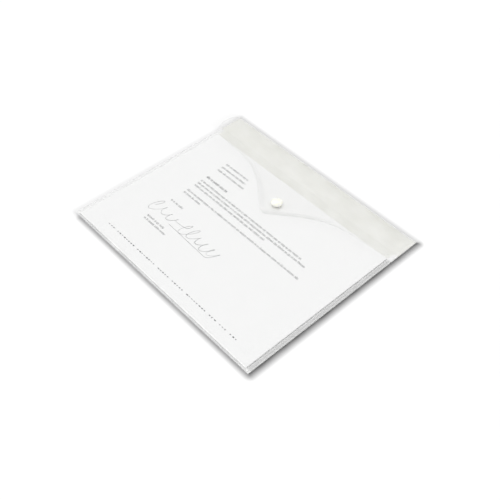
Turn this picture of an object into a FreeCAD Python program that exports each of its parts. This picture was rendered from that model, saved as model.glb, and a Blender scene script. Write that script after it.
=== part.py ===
import FreeCAD, Part
import math
import os

V = FreeCAD.Vector

# Sizes in millimetres. X runs along the flap fold, Y from the bottom fold to the flap fold, Z up.
WIDTH = 290.0
DEPTH = 252.0
FILM = 0.35
HALF_W = WIDTH / 2
FOLD_Y = DEPTH / 2
BASE_Y = -DEPTH / 2

# Pages inside the pocket
PAGE_W = 278.0
PAGE_H = 207.3
PAGE_TOP = 43.0
PAGE_GAP = 0.1
STACK_T = 0.5
LETTER_T = 0.12
LEAF_GAP = 0.03
PAGE_FLOOR = FILM + PAGE_GAP

# Pocket
POCKET_IN = 1.7
POCKET_TOP = POCKET_IN + FILM
MOUTH_AT = 32.0
PANEL_HALF = 139.6
WELD_IN = 142.6
WELD_W = HALF_W - WELD_IN
FOLD_RUN = 1.5
CLOSED_TIP = 0.05

# Flap fold, arch and outline; distances marked AT are measured from the flap fold
CREASE_R = 0.35
CREASE_TAIL = 0.65
ROOT_GAP = 0.12
ROOT_ANGLE = 42.0
ARCH_LEAD = 26.0
ARCH_TAIL = 26.0
LAND_AT = 66.0
TONGUE_FLAT_AT = 90.0
TONGUE_DROOP = 0.8
SOCKET_FACE = 4.15
SHOULDER_AT = 46.0
WAIST_HALF = 62.0
WAIST_AT = 52.0
TIP_CORNER_AT = 101.0
SHOULDER_R = 18.0
WAIST_R = 100.0
TIP_R = 10.0
ARCH_STEPS = 16
CUT_MARGIN = 2.0
CUTTER_H = 30.0

# Press stud
STUD_AT = 75.0
STUD_Y = FOLD_Y - STUD_AT
CAP_R = 7.0
CAP_RIM = 0.7
CAP_H = 2.6
POST_R = 1.5
SOCKET_R = 5.6
SOCKET_H = 1.5
SOCKET_BORE_R = 2.75
SOCKET_BORE_H = 1.25
SOCKET_EASE = 0.3
STUD_R = 5.6
STUD_FLANGE = 0.45
NUB_NECK_R = 2.1
NUB_HEAD_R = 2.45
NUB_H = 1.15
BACK_R = 6.0
BACK_FLANGE = 0.5
REST_Z = SOCKET_FACE + FILM


def block(x0, x1, y0, y1, z0, z1):
    return Part.makeBox(x1 - x0, y1 - y0, z1 - z0, V(x0, y0, z0))


def along_y(points, y0, y1):
    """Prism along Y from (x, z) points."""
    ring = [V(x, y0, z) for x, z in points]
    face = Part.Face(Part.makePolygon(ring + ring[:1]))
    return face.extrude(V(0, y1 - y0, 0))


def rod_x(radius, y, z, x0, x1):
    return Part.makeCylinder(radius, x1 - x0, V(x0, y, z), V(1, 0, 0))


def turned(points, x, y):
    """Solid of revolution about the vertical line at x, y from (radius, z) points."""
    ring = [V(x + r, y, z) for r, z in points]
    face = Part.Face(Part.makePolygon(ring + ring[:1]))
    return face.revolve(V(x, y, 0), V(0, 0, 1), 360)


def back_panel():
    return block(-HALF_W, HALF_W, BASE_Y + FOLD_RUN, FOLD_Y - CREASE_R - CREASE_TAIL, 0, FILM)


def front_panel():
    outer = [(-WELD_IN, FILM), (-WELD_IN, 2 * FILM), (-PANEL_HALF, POCKET_TOP)]
    outer += [(PANEL_HALF, POCKET_TOP), (WELD_IN, 2 * FILM), (WELD_IN, FILM)]
    inner = [(PANEL_HALF, POCKET_IN), (-PANEL_HALF, POCKET_IN)]
    film = along_y(outer + inner, BASE_Y + FOLD_RUN, FOLD_Y - MOUTH_AT)
    hole = Part.makeCylinder(POST_R, POCKET_TOP, V(0, STUD_Y, 0))
    return film.cut(hole)


def u_wire(x, nose_y, near_y, radius, mid_z):
    """Closed outline across the bottom fold: two flat legs joined by a half circle."""
    mid_y = nose_y + radius
    low = V(x, near_y, mid_z - radius)
    low_turn = V(x, mid_y, mid_z - radius)
    nose = V(x, nose_y, mid_z)
    top_turn = V(x, mid_y, mid_z + radius)
    top = V(x, near_y, mid_z + radius)
    bend = Part.Arc(low_turn, nose, top_turn).toShape()
    legs = [Part.makeLine(low, low_turn), bend, Part.makeLine(top_turn, top), Part.makeLine(top, low)]
    return Part.Wire(legs)


def fold_outer(x, radius, mid_z):
    return u_wire(x, BASE_Y, BASE_Y + FOLD_RUN, radius, mid_z)


def fold_inner(x, radius, mid_z):
    return u_wire(x, BASE_Y + FILM, BASE_Y + FOLD_RUN + CUT_MARGIN, radius, mid_z)


def bottom_fold():
    """Half-round fold that narrows to the thickness of the weld at both ends."""
    full = POCKET_TOP / 2
    middle = Part.Face(fold_outer(-PANEL_HALF, full, full)).extrude(V(2 * PANEL_HALF, 0, 0))
    hollow = Part.Face(fold_inner(-PANEL_HALF, full - FILM, full)).extrude(V(2 * PANEL_HALF, 0, 0))
    body = middle.cut(hollow)
    for side in (-1, 1):
        wide = fold_outer(side * PANEL_HALF, full, full)
        narrow = fold_outer(side * WELD_IN, FILM, FILM)
        gap_wide = fold_inner(side * PANEL_HALF, full - FILM, full)
        gap_narrow = fold_inner(side * WELD_IN, CLOSED_TIP, FILM)
        taper = Part.makeLoft([wide, narrow], True, True)
        taper = taper.cut(Part.makeLoft([gap_wide, gap_narrow], True, True))
        end = Part.Face(narrow).extrude(V(side * WELD_W, 0, 0))
        body = body.fuse(taper).fuse(end)
    return body.removeSplitter()


def side_weld(side):
    x0, x1 = sorted((side * WELD_IN, side * HALF_W))
    return block(x0, x1, BASE_Y + FOLD_RUN, FOLD_Y - MOUTH_AT, FILM, 2 * FILM)


def flap_crease():
    axis_y = FOLD_Y - CREASE_R
    bead = rod_x(CREASE_R, axis_y, CREASE_R, -HALF_W, HALF_W)
    tail = block(-HALF_W, HALF_W, axis_y - CREASE_TAIL, axis_y, 0, FILM)
    return bead.fuse(tail).removeSplitter()


def arch_sides():
    """Under and upper curves of the arched film, from the crease to the flat landing."""
    lift = math.radians(ROOT_ANGLE)
    reach = CREASE_R + ROOT_GAP
    mid_z = SOCKET_FACE + FILM / 2
    start = V(0, CREASE_R + reach * math.cos(lift), CREASE_R + reach * math.sin(lift))
    leave = start + V(0, ARCH_LEAD * math.cos(lift), ARCH_LEAD * math.sin(lift))
    arrive = V(0, LAND_AT - ARCH_TAIL, mid_z)
    land = V(0, LAND_AT, mid_z)
    curve = Part.BezierCurve()
    curve.setPoles([start, leave, arrive, land])
    under, upper = [], []
    for step in range(ARCH_STEPS + 1):
        t = curve.FirstParameter + (curve.LastParameter - curve.FirstParameter) * step / ARCH_STEPS
        run = curve.tangent(t)[0]
        up = V(0, -run.z, run.y)
        point = curve.value(t)
        under.append(point - up * (FILM / 2))
        upper.append(point + up * (FILM / 2))
    sides = []
    for points in (under, upper):
        placed = [V(-HALF_W - CUT_MARGIN, FOLD_Y - p.y, p.z) for p in points]
        side = Part.BSplineCurve()
        rise = V(0, -math.cos(lift), math.sin(lift))
        side.interpolate(Points=placed, InitialTangent=rise, FinalTangent=V(0, -1, 0))
        sides.append(side.toShape())
    return sides


def flap_sheet():
    """Arched film at constant section, wider than the flap."""
    under, upper = arch_sides()
    x = -HALF_W - CUT_MARGIN
    flat_y = FOLD_Y - TONGUE_FLAT_AT
    tip_y = FOLD_Y - TIP_CORNER_AT
    low_flat = V(x, flat_y, SOCKET_FACE)
    top_flat = V(x, flat_y, REST_Z)
    low_tip = V(x, tip_y, SOCKET_FACE - TONGUE_DROOP)
    top_tip = V(x, tip_y, REST_Z - TONGUE_DROOP)
    edges = [under, Part.makeLine(under.valueAt(under.LastParameter), low_flat)]
    edges += [Part.makeLine(low_flat, low_tip), Part.makeLine(low_tip, top_tip)]
    edges += [Part.makeLine(top_tip, top_flat)]
    edges += [Part.makeLine(top_flat, upper.valueAt(upper.LastParameter)), upper]
    edges += [Part.makeLine(upper.valueAt(upper.FirstParameter), under.valueAt(under.FirstParameter))]
    face = Part.Face(Part.Wire(Part.__sortEdges__(edges)))
    return face.extrude(V(WIDTH + 2 * CUT_MARGIN, 0, 0))


def fillet_corner(before, corner, after, radius):
    """Tangent points and mid point of the arc that rounds one corner."""
    a = (before - corner).normalize()
    b = (after - corner).normalize()
    half = a.getAngle(b) / 2
    reach = radius / math.tan(half)
    middle = (a + b).normalize()
    arc_mid = corner + middle * (radius / math.sin(half) - radius)
    return corner + a * reach, arc_mid, corner + b * reach


def flap_outline():
    """Full-width band with rounded shoulders that runs into a pointed tongue."""
    root_y = FOLD_Y + CUT_MARGIN
    shoulder_y = FOLD_Y - SHOULDER_AT
    waist_y = FOLD_Y - WAIST_AT
    right = [V(HALF_W, root_y, 0), V(HALF_W, shoulder_y, 0), V(WAIST_HALF, waist_y, 0)]
    left = [V(-p.x, p.y, 0) for p in reversed(right)]
    corners = right + [V(0, FOLD_Y - TIP_CORNER_AT, 0)] + left
    radii = [0, SHOULDER_R, WAIST_R, TIP_R, WAIST_R, SHOULDER_R, 0]
    edges = []
    last = corners[0]
    for i in range(1, len(corners) - 1):
        start, middle, end = fillet_corner(corners[i - 1], corners[i], corners[i + 1], radii[i])
        edges.append(Part.makeLine(last, start))
        edges.append(Part.Arc(start, middle, end).toShape())
        last = end
    edges.append(Part.makeLine(last, corners[-1]))
    edges.append(Part.makeLine(corners[-1], corners[0]))
    return Part.Face(Part.Wire(edges))


def flap():
    prism = flap_outline().extrude(V(0, 0, CUTTER_H))
    hole = Part.makeCylinder(POST_R, CUTTER_H, V(0, STUD_Y, 0))
    return flap_sheet().common(prism).cut(hole)


def snap_cap():
    """Domed button head with the post that passes through the flap."""
    sag = CAP_H - CAP_RIM
    ball = (CAP_R ** 2 + sag ** 2) / (2 * sag)
    dome = Part.makeSphere(ball, V(0, STUD_Y, REST_Z + CAP_H - ball))
    disc = Part.makeCylinder(CAP_R, CAP_H, V(0, STUD_Y, REST_Z))
    post = Part.makeCylinder(POST_R, FILM, V(0, STUD_Y, SOCKET_FACE))
    return dome.common(disc).fuse(post).removeSplitter()


def snap_socket():
    """Ring under the flap with a bore that opens downward over the stud."""
    low = SOCKET_FACE - SOCKET_H
    ceiling = low + SOCKET_BORE_H
    wide = SOCKET_BORE_R + SOCKET_EASE
    outline = [(wide, low), (SOCKET_R, low), (SOCKET_R, SOCKET_FACE), (0, SOCKET_FACE)]
    outline += [(0, ceiling), (SOCKET_BORE_R, ceiling), (SOCKET_BORE_R, low + SOCKET_EASE)]
    return turned(outline, 0, STUD_Y)


def snap_stud():
    """Disc on the pocket with a round nub that the socket grips."""
    base = POCKET_TOP
    disc = base + STUD_FLANGE
    top = disc + NUB_H
    outline = [(0, base), (STUD_R, base), (STUD_R, disc), (NUB_NECK_R, disc)]
    outline += [(NUB_HEAD_R, disc + NUB_H / 2), (NUB_NECK_R, top), (0, top)]
    return turned(outline, 0, STUD_Y)


def snap_back():
    """Rivet head inside the pocket with its post through the front panel."""
    head = Part.makeCylinder(BACK_R, BACK_FLANGE, V(0, STUD_Y, POCKET_IN - BACK_FLANGE))
    post = Part.makeCylinder(POST_R, FILM, V(0, STUD_Y, POCKET_IN))
    return head.fuse(post).removeSplitter()


def page(floor, thickness):
    top_y = FOLD_Y - PAGE_TOP
    return block(-PAGE_W / 2, PAGE_W / 2, top_y - PAGE_H, top_y, floor, floor + thickness)


def build():
    return {
        "back_panel": back_panel(),
        "front_panel": front_panel(),
        "bottom_fold": bottom_fold(),
        "weld_left": side_weld(-1),
        "weld_right": side_weld(1),
        "flap_crease": flap_crease(),
        "flap": flap(),
        "snap_cap": snap_cap(),
        "snap_socket": snap_socket(),
        "snap_stud": snap_stud(),
        "snap_back": snap_back(),
        "page_stack": page(PAGE_FLOOR, STACK_T),
        "letter_page": page(PAGE_FLOOR + STACK_T + LEAF_GAP, LETTER_T),
    }


os.makedirs("parts", exist_ok=True)
for node, shape in build().items():
    print(node, shape.isValid(), len(shape.Solids), round(shape.Volume, 2))
    print("   ", shape.BoundBox)
    shape.exportStep("parts/" + node + ".step")
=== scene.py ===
import math
import random

import bmesh
import bpy
from mathutils import Matrix, Vector, noise
from mathutils.bvhtree import BVHTree
from mathutils.kdtree import KDTree


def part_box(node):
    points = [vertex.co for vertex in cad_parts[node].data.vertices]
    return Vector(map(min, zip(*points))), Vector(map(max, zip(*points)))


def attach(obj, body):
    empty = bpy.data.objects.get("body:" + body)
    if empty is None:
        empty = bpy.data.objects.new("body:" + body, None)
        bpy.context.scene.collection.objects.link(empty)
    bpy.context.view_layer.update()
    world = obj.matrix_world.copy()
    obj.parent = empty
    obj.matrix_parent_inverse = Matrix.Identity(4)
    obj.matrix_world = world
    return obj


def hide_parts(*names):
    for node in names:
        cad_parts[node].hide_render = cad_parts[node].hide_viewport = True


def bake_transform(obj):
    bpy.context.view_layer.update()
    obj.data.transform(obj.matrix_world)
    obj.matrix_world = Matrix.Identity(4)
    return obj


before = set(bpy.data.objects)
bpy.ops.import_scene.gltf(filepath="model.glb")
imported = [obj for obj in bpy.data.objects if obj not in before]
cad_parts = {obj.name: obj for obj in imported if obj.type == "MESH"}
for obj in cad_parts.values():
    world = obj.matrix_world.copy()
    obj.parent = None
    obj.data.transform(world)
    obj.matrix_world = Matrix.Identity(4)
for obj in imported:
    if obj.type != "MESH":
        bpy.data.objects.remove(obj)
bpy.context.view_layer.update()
MM = 0.001

# ---------------------------------------------------------------- sizes taken from the frame, in metres
BACK_LOW, BACK_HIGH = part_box("back_panel")
_, FRONT_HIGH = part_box("front_panel")
FLAP_LOW, FLAP_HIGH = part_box("flap")
_, CREASE_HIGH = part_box("flap_crease")
BOTTOM_LOW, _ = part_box("bottom_fold")
WELD_LOW, WELD_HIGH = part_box("weld_right")
LETTER_LOW, LETTER_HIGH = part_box("letter_page")
STACK_LOW, STACK_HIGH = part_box("page_stack")
CAP_LOW, CAP_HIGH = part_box("snap_cap")
SOCKET_LOW, SOCKET_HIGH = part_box("snap_socket")
NUB_LOW, NUB_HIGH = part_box("snap_stud")
RIVET_LOW, RIVET_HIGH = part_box("snap_back")

FILM = BACK_HIGH.z - BACK_LOW.z
HALF_W = BACK_HIGH.x
FOLD_Y = CREASE_HIGH.y
BASE_Y = BOTTOM_LOW.y
MOUTH_Y = FRONT_HIGH.y
WELD_IN = WELD_LOW.x
STUD_Y = (CAP_LOW.y + CAP_HIGH.y) / 2

# material slots of a film piece
BODY, RIM, PATCH = 0, 1, 2


# ---------------------------------------------------------------- mesh helpers
FILM_SHARP = math.radians(50)
TURNED_SHARP = math.radians(40)


def spread(low, high, count):
    """count + 1 evenly spaced values from low to high."""
    return [low + (high - low) * i / count for i in range(count + 1)]


def smooth(t):
    """Smooth step from 0 to 1 while t goes from 0 to 1."""
    t = min(1.0, max(0.0, t))
    return t * t * (3 - 2 * t)


def mesh_object(name, bm, materials, shaded=True):
    """Object from a finished bmesh, with its faces turned outward."""
    bmesh.ops.recalc_face_normals(bm, faces=bm.faces)
    mesh = bpy.data.meshes.new(name)
    bm.to_mesh(mesh)
    bm.free()
    for material in materials:
        mesh.materials.append(material)
    for face in mesh.polygons:
        face.use_smooth = shaded
    obj = bpy.data.objects.new(name, mesh)
    bpy.context.scene.collection.objects.link(obj)
    return obj


def slab(name, top, bottom, materials):
    """Closed thin sheet between two equal grids of points; its rim takes the RIM material."""
    bm = bmesh.new()
    layers = []
    for grid in (top, bottom):
        layers.append([[bm.verts.new(p) for p in row] for row in grid])
    rows = len(top)
    cols = len(top[0])
    for layer in layers:
        for i in range(rows - 1):
            for j in range(cols - 1):
                bm.faces.new((layer[i][j], layer[i][j + 1], layer[i + 1][j + 1], layer[i + 1][j]))
    rim = [(0, j) for j in range(cols)]
    rim += [(i, cols - 1) for i in range(1, rows)]
    rim += [(rows - 1, j) for j in range(cols - 2, -1, -1)]
    rim += [(i, 0) for i in range(rows - 2, 0, -1)]
    upper, lower = layers
    for (i, j), (m, n) in zip(rim, rim[1:] + rim[:1]):
        face = bm.faces.new((upper[i][j], upper[m][n], lower[m][n], lower[i][j]))
        face.material_index = RIM
    obj = mesh_object(name, bm, materials)
    obj.data.set_sharp_from_angle(angle=FILM_SHARP)
    return obj


def patch(obj, covered):
    """Gives the PATCH material to body faces whose centre is covered(x, y)."""
    for face in obj.data.polygons:
        if face.material_index == BODY and covered(face.center.x, face.center.y):
            face.material_index = PATCH


def lathe(name, outline, centre, material, steps=96):
    """Closed turned solid from (radius, z) points, both ends on the axis."""
    bm = bmesh.new()
    rings = []
    for radius, z in outline:
        if radius <= 0:
            rings.append([bm.verts.new((centre.x, centre.y, z))])
            continue
        ring = []
        for k in range(steps):
            a = 2 * math.pi * k / steps
            x = centre.x + radius * math.cos(a)
            y = centre.y + radius * math.sin(a)
            ring.append(bm.verts.new((x, y, z)))
        rings.append(ring)
    for low, high in zip(rings, rings[1:]):
        for k in range(steps):
            n = (k + 1) % steps
            near = [low[k % len(low)], low[n % len(low)]]
            far = [high[n % len(high)], high[k % len(high)]]
            unique = list(dict.fromkeys(near + far))
            if len(unique) > 2:
                bm.faces.new(unique)
    obj = mesh_object(name, bm, [material])
    obj.data.set_sharp_from_angle(angle=TURNED_SHARP)
    return obj


def arc(centre_r, centre_z, radius, start, end, steps=8):
    """(r, z) points on an arc, angles in degrees from the +r direction."""
    angles = [math.radians(a) for a in spread(start, end, steps)]
    return [(centre_r + radius * math.cos(a), centre_z + radius * math.sin(a)) for a in angles]


# ---------------------------------------------------------------- materials
GRAIN_DEPTH = 0.02 * MM
FILM_IOR = 1.49
EDGE_BLEND = 0.28
EDGE_FROM = 0.16


def new_material(name):
    """A Principled material, its node tree and shader, and object coordinates."""
    material = bpy.data.materials.new(name)
    material.use_nodes = True
    tree = material.node_tree
    shader = tree.nodes["Principled BSDF"]
    coords = tree.nodes.new("ShaderNodeTexCoord")
    return material, tree, shader, coords.outputs["Object"]


def stretch(tree, vector, scale):
    """Coordinates scaled by a different amount along each axis."""
    mapping = tree.nodes.new("ShaderNodeMapping")
    mapping.inputs["Scale"].default_value = scale
    tree.links.new(vector, mapping.inputs["Vector"])
    return mapping.outputs["Vector"]


def noise_node(tree, vector, scale, detail=3.0):
    """Noise of about 0.3 to 0.7."""
    node = tree.nodes.new("ShaderNodeTexNoise")
    node.inputs["Scale"].default_value = scale
    node.inputs["Detail"].default_value = detail
    tree.links.new(vector, node.inputs["Vector"])
    return node.outputs["Fac"]


def ranged(tree, value, low, high, start=0.3, end=0.7):
    """Takes values from start..end to low..high."""
    node = tree.nodes.new("ShaderNodeMapRange")
    node.inputs["From Min"].default_value = start
    node.inputs["From Max"].default_value = end
    node.inputs["To Min"].default_value = low
    node.inputs["To Max"].default_value = high
    tree.links.new(value, node.inputs["Value"])
    return node.outputs["Result"]


def two_tone(tree, value, dark, light):
    """Colour between dark and light."""
    node = tree.nodes.new("ShaderNodeMix")
    node.data_type = "RGBA"
    node.inputs["A"].default_value = (*dark, 1)
    node.inputs["B"].default_value = (*light, 1)
    tree.links.new(value, node.inputs["Factor"])
    return node.outputs["Result"]


def bump(tree, shader, height, strength):
    """Fine grain on the shader's normal."""
    node = tree.nodes.new("ShaderNodeBump")
    node.inputs["Distance"].default_value = GRAIN_DEPTH
    node.inputs["Strength"].default_value = strength
    tree.links.new(height, node.inputs["Height"])
    tree.links.new(node.outputs["Normal"], shader.inputs["Normal"])


def film_material(name, dark, light, haze, rim_haze, roughness=0.16):
    """Clear polypropylene with handling scratches: a faint haze, stronger at grazing angles."""
    material, tree, shader, where = new_material(name)
    cloud = noise_node(tree, where, 45.0)
    frost = noise_node(tree, where, 1400.0, 2.0)
    along = stretch(tree, where, (60.0, 1500.0, 60.0))
    scratch = noise_node(tree, along, 1.0, 4.0)
    tree.links.new(two_tone(tree, cloud, dark, light), shader.inputs["Base Color"])
    tree.links.new(ranged(tree, scratch, roughness * 0.7, roughness * 1.6), shader.inputs["Roughness"])
    body = ranged(tree, cloud, haze * 0.75, haze * 1.25)
    edge = tree.nodes.new("ShaderNodeLayerWeight")
    edge.inputs["Blend"].default_value = EDGE_BLEND
    grazing = ranged(tree, edge.outputs["Facing"], 0.0, rim_haze, EDGE_FROM, 1.0)
    total = tree.nodes.new("ShaderNodeMath")
    total.operation = "ADD"
    total.use_clamp = True
    tree.links.new(body, total.inputs[0])
    tree.links.new(grazing, total.inputs[1])
    tree.links.new(total.outputs["Value"], shader.inputs["Alpha"])
    shader.inputs["IOR"].default_value = FILM_IOR
    shader.inputs["Specular IOR Level"].default_value = 0.6
    bump(tree, shader, frost, 0.35)
    return material


def paper_material():
    """Uncoated office paper: faint mottling and fibre tooth."""
    material, tree, shader, where = new_material("office_paper")
    mottle = noise_node(tree, where, 220.0, 5.0)
    fibre = noise_node(tree, stretch(tree, where, (1800.0, 5200.0, 1800.0)), 1.0, 3.0)
    tone = two_tone(tree, mottle, (0.808, 0.811, 0.811), (0.845, 0.845, 0.841))
    tree.links.new(tone, shader.inputs["Base Color"])
    tree.links.new(ranged(tree, fibre, 0.82, 0.96), shader.inputs["Roughness"])
    shader.inputs["Specular IOR Level"].default_value = 0.25
    bump(tree, shader, fibre, 0.3)
    return material


def ink_material():
    """Laser toner: dark grey with small gaps in density."""
    material, tree, shader, where = new_material("toner")
    density = noise_node(tree, where, 2600.0, 3.0)
    tone = two_tone(tree, density, (0.03, 0.03, 0.034), (0.09, 0.09, 0.096))
    tree.links.new(tone, shader.inputs["Base Color"])
    tree.links.new(ranged(tree, density, 0.4, 0.65), shader.inputs["Roughness"])
    return material


def stud_material():
    """Cream moulded plastic, a little translucent, with a glossy skin and faint flow marks."""
    material, tree, shader, where = new_material("stud_plastic")
    flow = noise_node(tree, stretch(tree, where, (300.0, 300.0, 900.0)), 1.0, 3.0)
    fine = noise_node(tree, where, 2200.0, 2.0)
    tone = two_tone(tree, flow, (0.89, 0.885, 0.79), (0.95, 0.945, 0.87))
    tree.links.new(tone, shader.inputs["Base Color"])
    tree.links.new(ranged(tree, fine, 0.2, 0.34), shader.inputs["Roughness"])
    shader.inputs["Subsurface Weight"].default_value = 0.6
    shader.inputs["Subsurface Radius"].default_value = (1.0, 1.0, 0.8)
    shader.inputs["Subsurface Scale"].default_value = 2 * MM
    shader.inputs["Coat Weight"].default_value = 0.35
    shader.inputs["Coat Roughness"].default_value = 0.08
    bump(tree, shader, fine, 0.25)
    return material


# One real film: the tones and haze of its areas are set to match the photo.
# name, dark and light tone, haze, haze at grazing angles, roughness
CLEAR = film_material("clear_film", (0.24, 0.245, 0.18), (0.34, 0.345, 0.27), 0.009, 0.10)
# LIP: a copy of the clear film, hazier at grazing angles, that paints shade along the flap's die-cut
# edge
LIP = film_material("clear_film_lip_painted_shade", (0.24, 0.245, 0.22), (0.34, 0.345, 0.32), 0.010, 0.42)
FRONT = film_material("clear_film_front", (0.55, 0.555, 0.54), (0.70, 0.705, 0.69), 0.009, 0.15)
# BACKING: a darker, hazier copy of the film on the back panel; its haze is painted shade under the
# wallet, seen through the films
BACKING = film_material("clear_film_backing_painted_shade", (0.24, 0.245, 0.10), (0.34, 0.345, 0.19), 0.062, 0.19)
# MARGIN: a lighter copy of the back film beside and below the pages, painted light against BACKING's
# painted shade
MARGIN = film_material("back_film_margin_painted_light", (0.56, 0.565, 0.56), (0.70, 0.705, 0.70), 0.065, 0.15)
CUT_EDGE = film_material("film_cut_edge", (0.42, 0.43, 0.41), (0.60, 0.61, 0.59), 0.05, 0.1, 0.3)
DIE_CUT = film_material("film_die_cut", (0.34, 0.35, 0.33), (0.48, 0.49, 0.47), 0.30, 0.25, 0.3)
WELD = film_material("welded_film", (0.62, 0.63, 0.61), (0.82, 0.83, 0.81), 0.045, 0.12, 0.3)
# WELD_EDGE: a near-white copy for the welds' rims, a painted highlight where the cut edge catches the
# light
WELD_EDGE = film_material("weld_edge_painted_highlight", (0.86, 0.865, 0.85), (0.94, 0.94, 0.93), 0.12, 0.1, 0.3)
# CREASE_AND_LIGHT: a near-opaque white copy of the film, partly a real crease's whitening and partly
# painted light over the shaded fold and the gap below the pages
CREASE_AND_LIGHT = film_material("creased_film_and_painted_light", (0.92, 0.925, 0.92), (0.97, 0.97, 0.965), 0.8, 0.2, 0.25)
PAPER = paper_material()
INK = ink_material()
CREAM = stud_material()


# ---------------------------------------------------------------- flap profile and outline
FLAP_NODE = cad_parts["flap"]
FLAP_TREE = BVHTree.FromPolygons(
    [v.co.copy() for v in FLAP_NODE.data.vertices],
    [tuple(p.vertices) for p in FLAP_NODE.data.polygons],
)
# the profile is read beside the hole for the stud's post
PROFILE_X = 4 * MM
PROFILE_STEP = 0.5 * MM
ROOT_Y = FLAP_HIGH.y - 0.6 * MM
TIP_Y = FLAP_LOW.y + 1.0 * MM


def flap_top(x, y):
    """Height of the CAD flap's upper face, or None beside the flap."""
    hit = FLAP_TREE.ray_cast(Vector((x, y, 1.0)), Vector((0, 0, -1)))
    return hit[0].z if hit[0] else None


def flap_mid(y):
    """Height of the middle of the film at y, and the slope there, from the CAD profile."""
    y = min(ROOT_Y - PROFILE_STEP, max(TIP_Y + PROFILE_STEP, y))
    ahead = flap_top(PROFILE_X, y - PROFILE_STEP)
    behind = flap_top(PROFILE_X, y + PROFILE_STEP)
    here = flap_top(PROFILE_X, y)
    slope = (ahead - behind) / (2 * PROFILE_STEP)
    return here - FILM / 2 * math.sqrt(1 + slope * slope), slope


def flap_edge(x):
    """The y of the flap's free edge at x."""
    inside, outside = FOLD_Y - 12 * MM, FLAP_LOW.y - 2 * MM
    for _ in range(18):
        middle = (inside + outside) / 2
        if flap_top(x, middle) is None:
            outside = middle
        else:
            inside = middle
    return inside


# ---------------------------------------------------------------- flap film, one piece with its crease
NOSE_R = 0.25 * MM
TAIL = 1.2 * MM
ROOT_RISE = math.radians(42)
SHOULDER = 18 * MM
TONGUE_TIP = 12 * MM
# the outline is read up to here on each side
OUTLINE_X = HALF_W - 0.05 * MM
END_LIFT = 0.5 * MM
# size and height of the unevenness, which fades out round the stud
FLAP_WAVE = (55 * MM, 0.3 * MM)
FLAP_CALM = 30 * MM
# the lip begins this far from the fold and reaches its full rise over the ramp
LIP_FROM = 44 * MM
LIP_RAMP = 14 * MM
LIP_RISE = math.radians(11)
LIP_CURL = 1.4
LIP_W = 7 * MM


def flap_columns():
    """x of each column of the flap mesh, close together at the rounded shoulders and the tip."""
    turn = spread(0, math.pi / 2, 12)
    shoulder = [HALF_W - SHOULDER * (1 - math.cos(a)) for a in turn]
    wing = spread(HALF_W - SHOULDER, TONGUE_TIP, 46)[1:]
    tip = spread(TONGUE_TIP, 0, 14)[1:]
    right = shoulder + wing + tip
    return [-x for x in right] + right[-2::-1]


def ripple(x, y, size, height):
    """Gentle unevenness of a film."""
    return height * noise.noise(Vector((x / size, y / size, 3.7)))


def crease_path():
    """Points and outward normals, (y, z, ny, nz), from the back film round the fold's nose."""
    centre_y = FOLD_Y - NOSE_R - FILM / 2
    centre_z = FILM / 2 + NOSE_R
    path = []
    for t in (0, 0.35, 0.7):
        path.append((FOLD_Y - TAIL + t * (centre_y - FOLD_Y + TAIL), FILM / 2, 0, -1))
    for a in spread(0, math.pi - ROOT_RISE, 12):
        out_y, out_z = math.sin(a), -math.cos(a)
        path.append((centre_y + NOSE_R * out_y, centre_z + NOSE_R * out_z, out_y, out_z))
    return path


def flap_point(x, y):
    """Height of the film's middle and its upward normal, with the free ends sprung up a little."""
    z, slope = flap_mid(y)
    along = (FOLD_Y - y) / (FOLD_Y - TIP_Y)
    z += END_LIFT * smooth(3 * along) * (abs(x) / HALF_W) ** 2
    beside_stud = smooth((abs(y - STUD_Y) + abs(x)) / FLAP_CALM - 0.3)
    z += ripple(x, y, *FLAP_WAVE) * (smooth(8 * along) * beside_stud)
    size = math.sqrt(1 + slope * slope)
    return z, slope / size, 1 / size


def flap_rim():
    """Points close together along the free edge, to measure distances from."""
    places = spread(-1, 1, 1200)
    rim = KDTree(len(places))
    for i, u in enumerate(places):
        x = OUTLINE_X * u
        rim.insert((x, flap_edge(x), 0), i)
    rim.balance()
    return rim


def lip(x, y, rim):
    """Rise of the die-cut edge, which springs up in a narrow lip beyond the shoulders."""
    depth = rim.find((x, y, 0))[2]
    if depth > LIP_W:
        return 0.0
    lift = LIP_W * math.tan(LIP_RISE) * (1 - depth / LIP_W) ** LIP_CURL
    return lift * smooth((FOLD_Y - y - LIP_FROM) / LIP_RAMP)


def flap_piece():
    """The whole flap with its crease, which bends between the wallet and the flap."""
    top, bottom = [], []
    crease = crease_path()
    rim = flap_rim()
    rows = spread(0, 0.9, 52) + spread(0.9, 1, 20)[1:]
    for x in flap_columns():
        edge = flap_edge(math.copysign(min(abs(x), OUTLINE_X), x))
        path = list(crease)
        for t in rows:
            y = ROOT_Y + (edge - ROOT_Y) * t
            z, ny, nz = flap_point(x, y)
            path.append((y, z + lip(x, y, rim), ny, nz))
        top.append([(x, y + ny * FILM / 2, z + nz * FILM / 2) for y, z, ny, nz in path])
        bottom.append([(x, y - ny * FILM / 2, z - nz * FILM / 2) for y, z, ny, nz in path])
    obj = slab("flap_film", top, bottom, [CLEAR, DIE_CUT, LIP])
    # faces near the free edge, beyond LIP_FROM, take LIP: painted shade along the flap's edge
    patch(obj, lambda x, y: FOLD_Y - y > LIP_FROM and rim.find((x, y, 0))[2] < LIP_W)
    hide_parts("flap", "flap_crease")
    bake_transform(obj)
    return obj


# ---------------------------------------------------------------- pocket
# the front slopes up over SLOPE_RUN beside the welds, and over LOWER_RUN above the fold,
# which takes FOLD_RUN itself
SLOPE_RUN = 4.5 * MM
LOWER_RUN = 0.7 * MM
FOLD_RUN = 0.4 * MM
FOLD_SKIN = 0.97
WHITE_TO = LETTER_LOW.y + 0.3 * MM
# size and height of the unevenness, which fades out at the edges and round the stud
FRONT_WAVE = (48 * MM, 0.35 * MM)
FRONT_CALM = 25 * MM
STUD_CALM = 12 * MM
# the welding bar's ribs and how deep they press
RIB = 1.2 * MM
PRESS = 0.02 * MM


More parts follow.
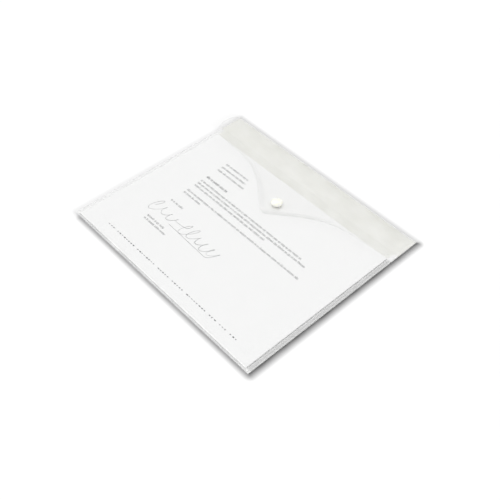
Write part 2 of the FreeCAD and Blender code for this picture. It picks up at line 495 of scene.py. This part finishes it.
def pocket_height(x, y):
    """Height of the pocket's outer face, which slopes up from the welds and from the lower fold."""
    rise = smooth((WELD_IN - abs(x)) / SLOPE_RUN) * smooth((y - BASE_Y - FOLD_RUN) / LOWER_RUN)
    return WELD_HIGH.z + (FRONT_HIGH.z - WELD_HIGH.z) * rise


def pocket_columns():
    """x of each column of the pocket's meshes, close together on the sloped margins."""
    margin = spread(WELD_IN, WELD_IN - SLOPE_RUN, 10)
    middle = spread(WELD_IN - SLOPE_RUN, -(WELD_IN - SLOPE_RUN), 90)[1:-1]
    return [-x for x in margin] + [-x for x in middle] + margin[::-1]


def front_piece():
    """Front film, even at its edges and round the stud, with white painted light below the pages."""
    top, bottom = [], []
    lower = BASE_Y + FOLD_RUN
    rows = spread(lower, lower + LOWER_RUN, 8) + spread(WHITE_TO, MOUTH_Y, 76)
    for x in pocket_columns():
        line = []
        for y in rows:
            fade = smooth((WELD_IN - abs(x)) / FRONT_CALM) * smooth((y - BASE_Y) / FRONT_CALM)
            fade *= smooth(math.hypot(x, y - STUD_Y) / STUD_CALM - 0.8)
            z = pocket_height(x, y) + ripple(x, y, *FRONT_WAVE) * fade
            line.append((x, y, z))
        top.append(line)
        bottom.append([(x, y, z - FILM) for x, y, z in line])
    obj = slab("pocket_front", top, bottom, [FRONT, CUT_EDGE, CREASE_AND_LIGHT])
    # below the pages the film takes CREASE_AND_LIGHT: painted light over the shaded gap by the fold
    patch(obj, lambda x, y: y < WHITE_TO)
    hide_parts("front_panel")
    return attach(obj, "wallet")


def fold_piece():
    """Lower edge: the film is creased and turns back under itself."""
    radius = WELD_HIGH.z / 2
    skin = radius * FOLD_SKIN
    path = [(BASE_Y + FOLD_RUN, WELD_HIGH.z, 0, 1)]
    for a in spread(90, 270, 14):
        out_y, out_z = math.cos(math.radians(a)), math.sin(math.radians(a))
        path.append((BASE_Y + radius + radius * out_y, radius + radius * out_z, out_y, out_z))
    path.append((BASE_Y + FOLD_RUN, 0, 0, -1))
    outer, inner = [], []
    for x in [-HALF_W] + pocket_columns() + [HALF_W]:
        outer.append([(x, y, z) for y, z, ny, nz in path])
        inner.append([(x, y - ny * skin, z - nz * skin) for y, z, ny, nz in path])
    # the whole fold takes CREASE_AND_LIGHT: a real crease, whitened further with painted light
    obj = slab("lower_fold", outer, inner, [CREASE_AND_LIGHT, CREASE_AND_LIGHT])
    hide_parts("bottom_fold")
    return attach(obj, "wallet")


def back_piece():
    """Back film: a shaded copy (BACKING, painted shade) under the pages and the flap, and a lighter
    copy (MARGIN, painted light) beside and below the pages.
    """
    rows = spread(BASE_Y + FOLD_RUN, LETTER_LOW.y, 2)
    rows += spread(LETTER_LOW.y, MOUTH_Y, 60)[1:]
    rows += spread(MOUTH_Y, FOLD_Y - TAIL, 12)[1:]
    columns = [-HALF_W] + pocket_columns() + [HALF_W]
    top = [[(x, y, FILM) for y in rows] for x in columns]
    bottom = [[(x, y, 0) for y in rows] for x in columns]
    obj = slab("wallet_back", top, bottom, [BACKING, CUT_EDGE, MARGIN])
    patch(obj, lambda x, y: y < LETTER_LOW.y or (y < MOUTH_Y and abs(x) > LETTER_HIGH.x))
    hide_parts("back_panel")
    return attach(obj, "wallet")


def weld_piece(side, name, node):
    """Side weld: both films pressed together between fine ribbed bars."""
    low, high = FILM, WELD_HIGH.z
    rows = spread(BASE_Y + FOLD_RUN, MOUTH_Y, int((MOUTH_Y - BASE_Y) / RIB) * 4)
    top, bottom = [], []
    for u in spread(0, 1, 8):
        x = side * (WELD_IN + (HALF_W - WELD_IN) * u)
        press = PRESS * math.sin(math.pi * u)
        line = []
        for y in rows:
            line.append((x, y, high - press * (1 + math.sin(2 * math.pi * y / RIB))))
        top.append(line)
        bottom.append([(x, y, low) for x, y, z in line])
    # the weld's rim takes WELD_EDGE: a painted highlight along its cut edges
    obj = slab(name, top, bottom, [WELD, WELD_EDGE])
    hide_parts(node)
    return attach(obj, "wallet")


# ---------------------------------------------------------------- press stud
POST_R = 1.5 * MM
CAP_SIDE = 0.45 * MM
CAP_ROUND = 0.3 * MM
CAP_UNDER = 0.6 * CAP_ROUND
BORE_R = 2.75 * MM
BORE_EASE = 0.3 * MM
BORE_DEPTH = 1.25 * MM
SOCKET_ROUND = 0.3 * MM
DISC_T = 0.45 * MM
DISC_ROUND = 0.25 * MM
NECK_R = 2.1 * MM
HEAD_R = 2.45 * MM
FLANGE_ROUND = 0.2 * MM


def cap_outline():
    """Domed cap with the post that goes through the flap."""
    radius, base = CAP_HIGH.x, SOCKET_HIGH.z + FILM
    outline = [(0, CAP_LOW.z), (POST_R, CAP_LOW.z), (POST_R, base)]
    outline += arc(radius - CAP_UNDER, base + CAP_UNDER, CAP_UNDER, -90, 0, 5)
    outline += arc(radius - CAP_ROUND, base + CAP_SIDE, CAP_ROUND, 0, 55, 6)
    reach, shoulder_z = outline[-1]
    for t in spread(0, 1, 14)[1:]:
        r = reach * (1 - t)
        outline.append((r, shoulder_z + (CAP_HIGH.z - shoulder_z) * (1 - (r / reach) ** 2)))
    return outline


def socket_outline():
    """Ring under the flap, with the bore that grips the nub."""
    radius, low, high = SOCKET_HIGH.x, SOCKET_LOW.z, SOCKET_HIGH.z
    ceiling = low + BORE_DEPTH
    mouth = BORE_R + BORE_EASE
    corner = 0.15 * MM
    outline = [(0, high), (radius - SOCKET_ROUND, high)]
    outline += arc(radius - SOCKET_ROUND, low + SOCKET_ROUND, SOCKET_ROUND, 0, -90, 5)
    outline += [(mouth + 0.6 * MM, low), (mouth, low + 0.05 * MM), (BORE_R, low + BORE_EASE)]
    outline += [(BORE_R, ceiling - corner), (BORE_R - corner, ceiling), (0, ceiling)]
    return outline


def nub_outline():
    """Headed nub on its disc, on the pocket's front."""
    radius, base, top = NUB_HIGH.x, NUB_LOW.z, NUB_HIGH.z
    disc = base + DISC_T
    outline = [(0, base), (radius - 0.1 * MM, base)]
    outline += arc(radius - DISC_ROUND, disc - DISC_ROUND, DISC_ROUND, 0, 90, 5)
    outline += [(NECK_R + DISC_ROUND, disc), (NECK_R, disc + 0.2 * MM)]
    outline += [(HEAD_R, disc + 0.55 * MM), (HEAD_R, disc + 0.75 * MM)]
    outline += [(NECK_R, top - 0.1 * MM), (NECK_R - 0.35 * MM, top), (0, top)]
    return outline


def rivet_outline():
    """Rivet head inside the pocket, with the post that goes through the front."""
    low, panel, top = RIVET_LOW.z, RIVET_HIGH.z - FILM, RIVET_HIGH.z
    rounded = RIVET_HIGH.x - FLANGE_ROUND
    outline = [(0, low), (rounded, low)]
    outline += arc(rounded, low + FLANGE_ROUND, FLANGE_ROUND, -60, 60, 5)
    outline += [(rounded, panel), (POST_R, panel), (POST_R, top), (0, top)]
    return outline


def stud_piece(name, outline, node, body):
    """One turned half or post of the press stud."""
    obj = lathe(name, outline, Vector((0, STUD_Y, 0)), CREAM)
    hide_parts(node)
    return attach(obj, body)


def stud_pieces():
    """Press stud; its cap is set to cast no shadow, in place of real translucent plastic."""
    cap = stud_piece("stud_cap", cap_outline(), "snap_cap", "flap")
    cap.visible_shadow = False
    stud_piece("stud_socket", socket_outline(), "snap_socket", "flap")
    stud_piece("stud_nub", nub_outline(), "snap_stud", "wallet")
    stud_piece("stud_rivet", rivet_outline(), "snap_back", "wallet")


# ---------------------------------------------------------------- pages
SHEETS = 5
SHEET_T = 0.09 * MM
PAGE_COLUMNS = 56
PAGE_ROWS = 44


def page_piece(name, low, high, body, node, turn=0.0, shift=(0, 0)):
    """One sheet of paper, turned and shifted a little in the pile."""
    middle = (low + high) / 2
    top, bottom = [], []
    for u in spread(-1, 1, PAGE_COLUMNS):
        line = []
        for v in spread(-1, 1, PAGE_ROWS):
            x = u * (high.x - low.x) / 2
            y = v * (high.y - low.y) / 2
            px = middle.x + x * math.cos(turn) - y * math.sin(turn) + shift[0]
            py = middle.y + x * math.sin(turn) + y * math.cos(turn) + shift[1]
            line.append((px, py))
        top.append([(px, py, high.z) for px, py in line])
        bottom.append([(px, py, low.z) for px, py in line])
    obj = slab(name, top, bottom, [PAPER, PAPER])
    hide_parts(node)
    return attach(obj, body)


def stack_pieces():
    """Sheets under the letter, not quite squared up."""
    jog = random.Random(4)
    pitch = (STACK_HIGH.z - STACK_LOW.z) / SHEETS
    for i in range(SHEETS):
        low = Vector((STACK_LOW.x, STACK_LOW.y, STACK_LOW.z + i * pitch))
        high = Vector((STACK_HIGH.x, STACK_HIGH.y, low.z + SHEET_T))
        shift = (jog.uniform(-0.5, 0.5) * MM, jog.uniform(-0.6, 0.2) * MM)
        turn = math.radians(jog.uniform(-0.08, 0.08))
        page_piece("sheet_%d" % (i + 1), low, high, "stack", "page_stack", turn, shift)


# ---------------------------------------------------------------- meaningless print on the letter
INK_T = 0.01 * MM
GLYPH_W = 1.05 * MM
GLYPH_GAP = 0.36 * MM
WORD_GAP = 1.3 * MM
X_HEIGHT = 2.3 * MM
# a letter's two strokes, as parts of its width: how wide each is, where the second begins
STROKE = 0.28
SECOND_STROKE = 0.62
ASCENTS = (1, 1, 1, 1.35)
DESCENTS = (0, 0, 0, 0, 0.3)
# the lines start a little further right the lower they are on the page
TEXT_LEFT = 47.8 * MM
TEXT_DRIFT = 0.032
BLOCKS = (
    # in mm: first line's distance from the page's top, line pitch, line lengths; then the weight
    (29.6, 6.9, (39, 42, 46), 1.0),
    (61.5, 5.4, (36,), 1.25),
    (70.2, 5.3, (167, 177, 119), 1.0),
    (92.2, 5.5, (185, 31), 1.0),
    (117.0, 5.4, (20,), 1.0),
    (152.2, 5.1, (30, 38), 1.0),
)
FOOTER_AT = 192.4 * MM
DASH_W = 1.9 * MM
DASH_H = 1.6 * MM
DASH_PITCH = 4.0 * MM
FOOTER_LEFT = 34.5 * MM
FOOTER_RIGHT = 249.0 * MM


def ink_bar(bm, x0, x1, y0, y1, z):
    """A small closed bar of toner standing on the paper."""
    corners = [(x0, y0), (x1, y0), (x1, y1), (x0, y1)]
    low = [bm.verts.new((x, y, z)) for x, y in corners]
    high = [bm.verts.new((x, y, z + INK_T)) for x, y in corners]
    bm.faces.new(low[::-1])
    bm.faces.new(high)
    for k in range(4):
        n = (k + 1) % 4
        bm.faces.new((low[k], low[n], high[n], high[k]))


def text_line(bm, rand, left, right, base, z, weight=1.0):
    """Words as rows of plain bars, some taller or lower than the rest."""
    x = left
    while x < right - GLYPH_W:
        for _ in range(rand.randint(2, 8)):
            wide = GLYPH_W * rand.uniform(0.55, 1.25)
            up = X_HEIGHT * weight * rand.choice(ASCENTS)
            down = rand.choice(DESCENTS) * X_HEIGHT
            if x + wide > right:
                return
            stroke = STROKE * weight * wide
            second = x + SECOND_STROKE * wide
            ink_bar(bm, x, x + stroke, base - down, base + up, z)
            ink_bar(bm, second, second + stroke, base, base + X_HEIGHT * weight, z)
            x += wide + GLYPH_GAP
        x += WORD_GAP


def footer_row(bm, rand, left, right, y, z):
    """Groups of short dashes."""
    x = left
    while x < right:
        for _ in range(rand.randint(3, 8)):
            if x > right:
                return
            wide = DASH_W * rand.uniform(0.5, 1.2)
            half = DASH_H * rand.uniform(0.6, 1.0) / 2
            ink_bar(bm, x, x + wide, y - half, y + half, z)
            x += DASH_PITCH
        x += DASH_PITCH


def print_piece():
    """All the bars of toner on the letter, as one piece."""
    rand = random.Random(12)
    bm = bmesh.new()
    left = LETTER_LOW.x + TEXT_LEFT
    top = LETTER_HIGH.y
    z = LETTER_HIGH.z
    for first, pitch, lengths, weight in BLOCKS:
        for i, length in enumerate(lengths):
            drop = (first + i * pitch) * MM
            start = left + TEXT_DRIFT * drop
            text_line(bm, rand, start, start + length * MM, top - drop - X_HEIGHT / 2, z, weight)
    row_left, row_right = LETTER_LOW.x + FOOTER_LEFT, LETTER_LOW.x + FOOTER_RIGHT
    footer_row(bm, rand, row_left, row_right, top - FOOTER_AT, z)
    obj = mesh_object("letter_print", bm, [INK], shaded=False)
    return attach(obj, "letter")


SIGN_LEFT = 42.0 * MM
SIGN_W = 119.0 * MM
SIGN_AT = 135.5 * MM
SIGN_RUNS = (
    # start and length as parts of the width, loops, height of the first loop
    (0.0, 0.34, 3.5, 9.5 * MM),
    (0.44, 0.50, 5.5, 11.0 * MM),
)
LEAN = 0.45
LOOP_WIDTH = 0.42
BASE_WAVE = 1.5 * MM
# underline, drawn from right to left: start and length as parts of the width, drop, rise
UNDERLINE = (0.94, 0.62, 10.5 * MM, 2.5 * MM)
PEN_R = 0.22 * MM
PEN_VARIES_OVER = 9 * MM


def flourish_points():
    """A made-up pen flourish: two runs of leaning loops that shrink, then a long underline."""
    points = []
    for start, length, loops, tall in SIGN_RUNS:
        for t in spread(0, 1, 60):
            uneven = noise.noise(Vector((3.4 * t, 9 * start, 0)))
            swing = tall * (0.9 - 0.5 * t) * (1 + 0.9 * uneven)
            turn = 2 * math.pi * (loops * t + 0.05 * math.sin(2 * math.pi * t + start))
            rise = swing * math.sin(turn)
            x = SIGN_W * (start + length * t) + LOOP_WIDTH * swing * math.cos(turn) + LEAN * rise
            points.append((x, rise + BASE_WAVE * math.sin(2 * math.pi * t)))
    start, length, drop, rise = UNDERLINE
    for t in spread(0, 1, 10)[1:]:
        points.append((SIGN_W * (start - length * t), -drop + rise * t))
    return points


def signature_piece():
    """The flourish as a flat line of ink whose width varies a little."""
    curve = bpy.data.curves.new("pen_flourish", "CURVE")
    curve.dimensions = "3D"
    spline = curve.splines.new("NURBS")
    points = flourish_points()
    spline.points.add(len(points) - 1)
    x0 = LETTER_LOW.x + SIGN_LEFT
    y0 = LETTER_HIGH.y - SIGN_AT
    for point, (x, y) in zip(spline.points, points):
        pressure = noise.noise(Vector((x / PEN_VARIES_OVER, y / PEN_VARIES_OVER, 0)))
        point.co = (x0 + x, y0 + y, 0, 1)
        point.radius = 0.8 + 0.5 * pressure
    spline.order_u = 3
    spline.use_endpoint_u = True
    curve.bevel_depth = PEN_R
    curve.bevel_resolution = 1
    source = bpy.data.objects.new("pen_line", curve)
    mesh = bpy.data.meshes.new_from_object(source)
    bpy.data.objects.remove(source)
    flattened = Matrix.Diagonal((1, 1, INK_T / PEN_R, 1))
    mesh.transform(Matrix.Translation((0, 0, LETTER_HIGH.z)) @ flattened)
    mesh.materials.clear()
    mesh.materials.append(INK)
    obj = bpy.data.objects.new("pen_flourish", mesh)
    bpy.context.scene.collection.objects.link(obj)
    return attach(obj, "letter")


# ---------------------------------------------------------------- stage
FLOOR_HALF = 4.0
FLOOR_DROP = 0.05 * MM


def floor_material():
    """Matt pale studio floor, all but even."""
    material, tree, shader, where = new_material("studio_floor")
    grain = noise_node(tree, where, 8.0, 2.0)
    tone = two_tone(tree, grain, (0.90, 0.90, 0.90), (0.92, 0.92, 0.92))
    tree.links.new(tone, shader.inputs["Base Color"])
    shader.inputs["Roughness"].default_value = 1.0
    shader.inputs["Specular IOR Level"].default_value = 0.0
    return material


def floor():
    """Floor just under the wallet, large enough for every view."""
    bm = bmesh.new()
    bmesh.ops.create_grid(bm, x_segments=1, y_segments=1, size=FLOOR_HALF)
    obj = mesh_object("floor", bm, [floor_material()], shaded=False)
    obj.location.z = -FLOOR_DROP


# ---------------------------------------------------------------- nets that make the shadow
# The lights alone leave no visible shadow on the white floor. These nets make all of it. The
# camera doesn't see them, their strengths are set to match the photo, and they don't follow a
# pose. margin_net also darkens part of the wallet itself.
def net_material():
    """Black net that stops as much of the light as the mesh's cover says."""
    material, tree, shader, where = new_material("net")
    cover = tree.nodes.new("ShaderNodeAttribute")
    cover.attribute_name = "cover"
    nap = ranged(tree, noise_node(tree, where, 60.0), 0.96, 1.04)
    stopped = tree.nodes.new("ShaderNodeMath")
    stopped.operation = "MULTIPLY"
    stopped.use_clamp = True
    tree.links.new(cover.outputs["Fac"], stopped.inputs[0])
    tree.links.new(nap, stopped.inputs[1])
    tree.links.new(stopped.outputs["Value"], shader.inputs["Alpha"])
    shader.inputs["Base Color"].default_value = (0, 0, 0, 1)
    shader.inputs["Specular IOR Level"].default_value = 0.0
    return material


NET = net_material()
NET_Z = 0.5 * MM
# the skirt, by side of the wallet: cover, gap from the wallet, reach
RIGHT_SKIRT = (0.95, 0.1 * MM, 9.8 * MM)
FOLD_SKIRT = (0.36, 0.1 * MM, 7 * MM)
LEFT_SKIRT = (0.17, 0.1 * MM, 8 * MM)
LOWER_SKIRT = (0.76, 0.8 * MM, 7 * MM)
NEAR_LEFT_SKIRT = (0.25, 0.8 * MM, 5 * MM)
SHADE_FROM = -HALF_W + 10 * MM
# net beyond the arch: where its cover changes, and the cover there
ARCH_COVER = (
    (FOLD_Y + 9 * MM, 0.0),
    (FOLD_Y - 2 * MM, 0.09),
    (MOUTH_Y + 4 * MM, 0.09),
    (MOUTH_Y - 12 * MM, 0.0),
)
ARCH_GAP = 0.2 * MM
ARCH_RISE = 0.4 * MM
ARCH_REACH = 30 * MM
MARGIN_COVER = (0.46, 0.16)
MARGIN_ABOVE = 0.15 * MM
MARGIN_FROM = LETTER_HIGH.x + 1.4 * MM
MARGIN_LOWER = BASE_Y + 3 * MM


def net(name, stations, closed=False):
    """Strip of net that the camera doesn't see.

    Each station is an inner point, an outer point, and the cover at both.
    """
    bm = bmesh.new()
    cover = bm.verts.layers.float.new("cover")
    pairs = []
    for inner, outer, inside, outside in stations:
        pair = (bm.verts.new(inner), bm.verts.new(outer))
        pair[0][cover] = inside
        pair[1][cover] = outside
        pairs.append(pair)
    following = pairs[1:] + pairs[:1] if closed else pairs[1:]
    for a, b in zip(pairs, following):
        bm.faces.new((a[0], a[1], b[1], b[0]))
    obj = mesh_object(name, bm, [NET], shaded=False)
    obj.visible_camera = False
    obj.visible_glossy = False
    obj.visible_transmission = False


def skirt_net():
    """Net just above the floor all round, which fades outward: the wallet's soft shadow.

    Along the lower edge it is at its full cover right of SHADE_FROM.
    """
    corners = (
        (HALF_W, BASE_Y, -90, LOWER_SKIRT, RIGHT_SKIRT),
        (HALF_W, FOLD_Y, 0, RIGHT_SKIRT, FOLD_SKIRT),
        (-HALF_W, FOLD_Y, 90, FOLD_SKIRT, LEFT_SKIRT),
        (-HALF_W, BASE_Y, 180, LEFT_SKIRT, NEAR_LEFT_SKIRT),
    )
    stations = []
    for x, y, first, before, after in corners:
        for t in spread(0, 1, 8):
            angle = math.radians(first + 90 * t)
            outward = Vector((math.cos(angle), math.sin(angle), 0))
            cover, gap, reach = (a + (b - a) * smooth(t) for a, b in zip(before, after))
            inner = Vector((x, y, NET_Z)) + outward * gap
            stations.append((inner, inner + outward * reach, cover, 0.0))
    cover, gap, reach = LOWER_SKIRT
    inner = Vector((SHADE_FROM, BASE_Y - gap, NET_Z))
    stations.append((inner, inner - Vector((0, reach, 0)), cover, 0.0))
    net("net_skirt", stations, closed=True)


def arch_net():
    """Weak wide net beyond the left end of the flap's arch."""
    reach = Vector((-ARCH_REACH, 0, 0))
    stations = []
    for y, cover in ARCH_COVER:
        inner = Vector((-HALF_W - ARCH_GAP, y, NET_Z + ARCH_RISE))
        stations.append((inner, inner + reach, cover, 0.0))
    net("net_arch", stations)


def margin_net():
    """Net over the right margin of the pocket, beside the pages."""
    stations = []
    for y in (MARGIN_LOWER, LETTER_HIGH.y):
        inner = Vector((MARGIN_FROM, y, pocket_height(MARGIN_FROM, STUD_Y) + MARGIN_ABOVE))
        outer = Vector((HALF_W, y, WELD_HIGH.z + MARGIN_ABOVE))
        stations.append((inner, outer, *MARGIN_COVER))
    net("net_margin", stations)


# ---------------------------------------------------------------- light and camera
KEY_FROM = Vector((-0.94, 0.33, 0))
KEY_RISE = math.radians(52)
KEY_SPREAD = math.radians(50)
KEY_POWER = 0.75
HORIZON = 0.28
ZENITH = 1.28
BACKDROP = 1.0
CAMERA_AT = (0.43185, -0.39865, 0.6278)
CAMERA_AZIMUTH = math.radians(46.58)
CAMERA_ELEVATION = math.radians(48.61)
CAMERA_ROLL = math.radians(-1.10)
SENSOR_MM = 36.0
LENS_MM = 55.06
# film layers that one grazing ray can cross
CLEAR_LAYERS = 24


def key_light():
    """A weak soft sun from the left."""
    sun = bpy.data.lights.new("key", "SUN")
    sun.energy = KEY_POWER
    sun.angle = KEY_SPREAD
    obj = bpy.data.objects.new("key", sun)
    toward = KEY_FROM.normalized() * math.cos(KEY_RISE) + Vector((0, 0, math.sin(KEY_RISE)))
    obj.rotation_euler = toward.to_track_quat("Z", "Y").to_euler()
    bpy.context.scene.collection.objects.link(obj)


def world_glow():
    """Overhead glow that fades towards the horizon, behind an even white backdrop."""
    world = bpy.data.worlds.new("studio")
    world.use_nodes = True
    tree = world.node_tree
    direction = tree.nodes.new("ShaderNodeTexCoord")
    split = tree.nodes.new("ShaderNodeSeparateXYZ")
    tree.links.new(direction.outputs["Generated"], split.inputs["Vector"])
    glow = ranged(tree, split.outputs["Z"], HORIZON, ZENITH, 0.0, 1.0)
    path = tree.nodes.new("ShaderNodeLightPath")
    level = tree.nodes.new("ShaderNodeMix")
    level.inputs["B"].default_value = BACKDROP
    tree.links.new(path.outputs["Is Camera Ray"], level.inputs["Factor"])
    tree.links.new(glow, level.inputs["A"])
    background = tree.nodes["Background"]
    tree.links.new(level.outputs["Result"], background.inputs["Strength"])
    background.inputs["Color"].default_value = (1, 1, 1, 1)
    bpy.context.scene.world = world


def camera():
    """The photograph's viewpoint: from above, over the lower right corner of the wallet."""
    back = Vector((
        math.sin(CAMERA_AZIMUTH) * math.cos(CAMERA_ELEVATION),
        -math.cos(CAMERA_AZIMUTH) * math.cos(CAMERA_ELEVATION),
        math.sin(CAMERA_ELEVATION),
    ))
    right = back.cross(Vector((0, 0, 1))).normalized() * -1
    up = back.cross(right)
    level = Matrix((right, up, back)).transposed()
    turned = level @ Matrix.Rotation(-CAMERA_ROLL, 3, "Z")
    data = bpy.data.cameras.new("camera")
    data.sensor_width = SENSOR_MM
    data.lens = LENS_MM
    obj = bpy.data.objects.new("camera", data)
    obj.matrix_world = Matrix.Translation(CAMERA_AT) @ turned.to_4x4()
    bpy.context.scene.collection.objects.link(obj)
    bpy.context.scene.camera = obj


back_piece()
front_piece()
fold_piece()
weld_piece(-1, "side_weld_left", "weld_left")
weld_piece(1, "side_weld_right", "weld_right")
flap_piece()
stud_pieces()
stack_pieces()
page_piece("letter_sheet", LETTER_LOW, LETTER_HIGH, "letter", "letter_page")
print_piece()
signature_piece()
floor()
skirt_net()
arch_net()
margin_net()
key_light()
world_glow()
camera()
bpy.context.scene.view_settings.view_transform = "Standard"
bpy.context.scene.cycles.transparent_max_bounces = CLEAR_LAYERS
